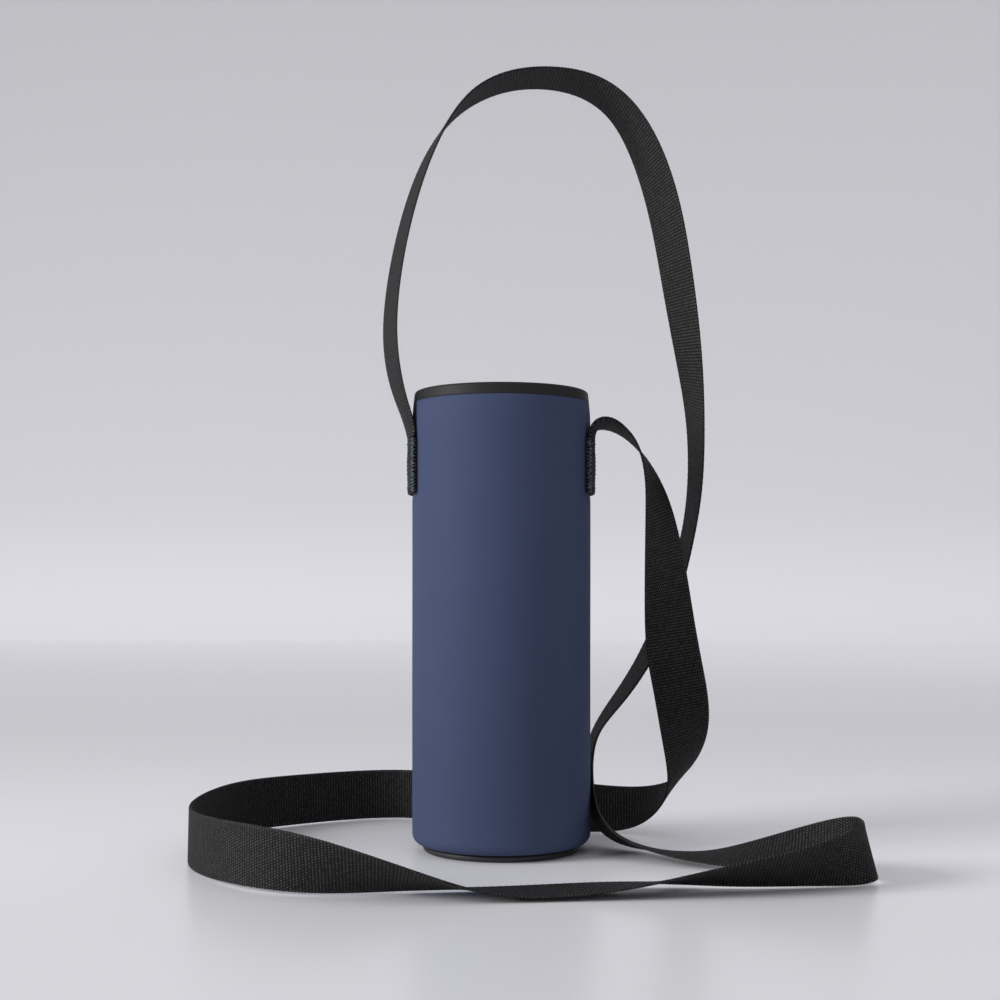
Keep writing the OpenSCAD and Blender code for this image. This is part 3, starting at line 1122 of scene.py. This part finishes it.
# Studio: pale floor running back to a pale wall, a soft light from the left and a weak one on the wall.
# The tones are painted light and shade: shares of the paint's colour at each distance (floor) or height
# (wall), in metres.
studio = {
    "paint": (0.873, 0.862, 0.893),
    "front": -2.0,
    "back": 2.7,
    "aside": 4.0,             # how far the floor and the wall reach to each side
    "wallTop": 4.0,
    "floor": {
        "paintedLightTones": [
            (-1.0, 0.93), (-0.15, 0.90), (0.0, 1.07), (0.4, 0.77),
            (0.9, 0.82), (1.8, 1.06), (2.7, 1.11),
        ],
        # painted light: the floor is painted lighter to the right, making up for the key light's falloff
        "paintedLightAside": (0.24, 0.10, 0.12),         # lighter to the right, less so further back, and at most
        "roughness": 0.3,
    },
    "wall": {
        "paintedLightTones": [(0.0, 0.97), (0.1, 1.05), (0.3, 0.88), (0.8, 0.82), (1.5, 0.73)],
        "paintedLightAside": (0.0, 0.0, 0.0),
        "roughness": 0.9,
    },
    "worldTone": (0.96, 0.97, 1.0),
    "worldStrength": 0.56,
    "keyLight": {
        "place": (-2.25, -0.9, 1.05),
        "aim": (0, 0, 0.12),
        "size": 1.1,
        "power": 59.0,
        "spread": 180,
    },
    "wallLight": {
        "place": (1.6, 0.6, 2.2),
        "aim": (1.4, 2.7, 0.5),
        "size": 1.2,
        "power": 2.5,
        "spread": 100,
    },
}


def addArea(name, look):
    data = bpy.data.lights.new(name, "AREA")
    data.size = look["size"]
    data.energy = look["power"]
    data.spread = math.radians(look["spread"])
    light = bpy.data.objects.new(name, data)
    light.location = look["place"]
    towards = Vector(look["aim"]) - Vector(look["place"])
    light.rotation_euler = towards.to_track_quat("-Z", "Y").to_euler()
    bpy.context.scene.collection.objects.link(light)


def paintedLightRamp(tree, paintedLightTones, colour, distance):
    # the paint's colour, lighter or darker at each distance: painted light and shade
    places, shares = zip(*paintedLightTones)
    first, last = places[0], places[-1]
    ramp = tree.nodes.new("ShaderNodeValToRGB")
    ramp.color_ramp.interpolation = "B_SPLINE"
    stops = ramp.color_ramp.elements
    for place in places[1:-1]:
        stops.new((place - first) / (last - first))
    for stop, share in zip(stops, shares):
        stop.color = (*[share * c for c in colour], 1)
    along = calc(tree, "SUBTRACT", distance, first)
    tree.links.new(calc(tree, "DIVIDE", along, last - first), ramp.inputs[0])
    return ramp.outputs[0]


def addStage(name, corners, colour, look, axis):
    mesh = bpy.data.meshes.new(name)
    mesh.from_pydata(corners, [], [(0, 1, 2, 3)])
    sheet = bpy.data.objects.new(name, mesh)
    bpy.context.scene.collection.objects.link(sheet)
    material, tree, shader = newMaterial(name + "Paint", look)
    parts = tree.nodes.new("ShaderNodeSeparateXYZ")
    tree.links.new(objectPlace(tree), parts.inputs[0])
    paintedTone = paintedLightRamp(tree, look["paintedLightTones"], colour, parts.outputs[axis])
    # painted light: lighter to the right, less so further back
    near, less, most = look["paintedLightAside"]
    lean = calc(tree, "SUBTRACT", near, times(tree, parts.outputs["Y"], less), clamp=True)
    aside = times(tree, parts.outputs["X"], calc(tree, "MINIMUM", lean, near))
    gain = plus(tree, 1.0, calc(tree, "MAXIMUM", calc(tree, "MINIMUM", aside, most), -most))
    scale = tree.nodes.new("ShaderNodeVectorMath")
    scale.operation = "SCALE"
    tree.links.new(paintedTone, scale.inputs[0])
    tree.links.new(gain, scale.inputs["Scale"])
    tree.links.new(scale.outputs[0], shader.inputs["Base Color"])
    mesh.materials.append(material)


def addStudio(look):
    front, back, side, top = look["front"], look["back"], look["aside"], look["wallTop"]
    floorCorners = [(-side, front, 0), (side, front, 0), (side, back, 0), (-side, back, 0)]
    wallCorners = [(-side, back, 0), (side, back, 0), (side, back, top), (-side, back, top)]
    addStage("floor", floorCorners, look["paint"], look["floor"], "Y")
    addStage("backdrop", wallCorners, look["paint"], look["wall"], "Z")
    world = bpy.data.worlds.new("studioWorld")
    bpy.context.scene.world = world
    world.use_nodes = True
    sky = world.node_tree.nodes["Background"]
    sky.inputs["Color"].default_value = (*look["worldTone"], 1)
    sky.inputs["Strength"].default_value = look["worldStrength"]
    addArea("keyLight", look["keyLight"])
    addArea("wallLight", look["wallLight"])


addStudio(studio)
bpy.context.scene.view_settings.view_transform = "Standard"
print("studio lit")
